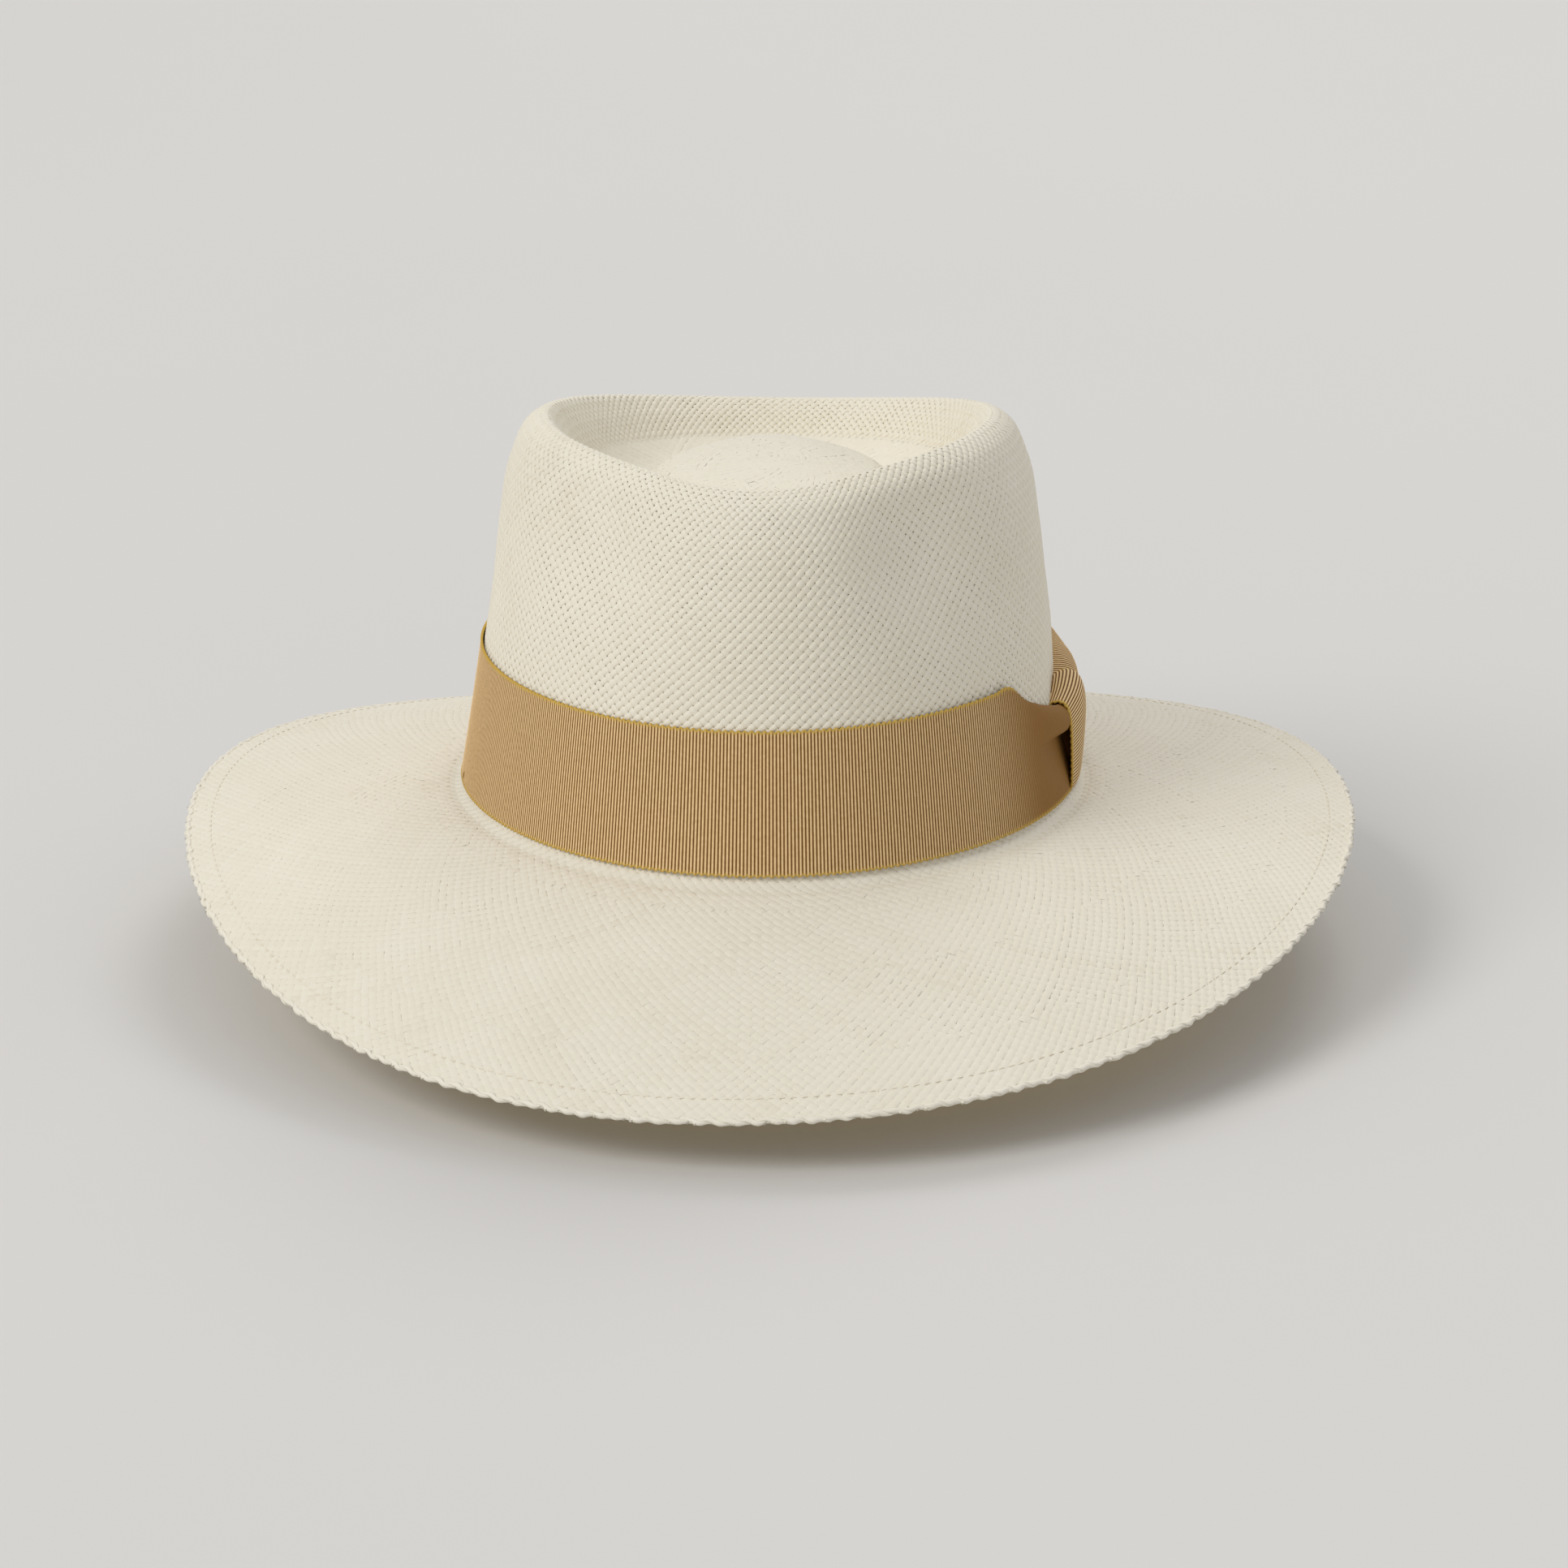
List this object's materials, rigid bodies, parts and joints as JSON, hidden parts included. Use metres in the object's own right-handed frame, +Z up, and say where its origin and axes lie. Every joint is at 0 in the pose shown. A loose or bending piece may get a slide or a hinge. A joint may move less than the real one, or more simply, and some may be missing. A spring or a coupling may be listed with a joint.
{
  "type": "panama hat",
  "caption": "Woven straw sun hat with a teardrop crown, a wide drooping brim, a tan ribbon band with a side bow and a leather sweatband.",
  "frame": {"origin": "on the surface the hat stands on, under the centre of its box", "axes": "+Z up, +Y towards the back of the hat, +X towards the wearer's left, where the bow is"},
  "size_m": [0.3252, 0.355, 0.1415],
  "materials": {
    "straw": "woven bleached straw, slight sheen",
    "straw_thread": "cotton thread",
    "ribbon": "ribbed grosgrain",
    "ribbon_thread": "cotton thread",
    "leather": "smooth lining leather",
    "reed": "matte",
    "label": "woven tape, blank"
  },
  "bodies": {
    "root": {"straw_body": "straw", "brim_edge_stitching": "straw_thread", "hat_band": "ribbon", "band_tacks": "ribbon_thread", "bow_knot": "ribbon", "bow_rear_loop": "ribbon", "sweatband": "leather", "sweatband_reed": "reed", "sweatband_stitching": "straw_thread", "sweatband_bow": "ribbon", "size_label": "label"}
  },
  "joints": []
}
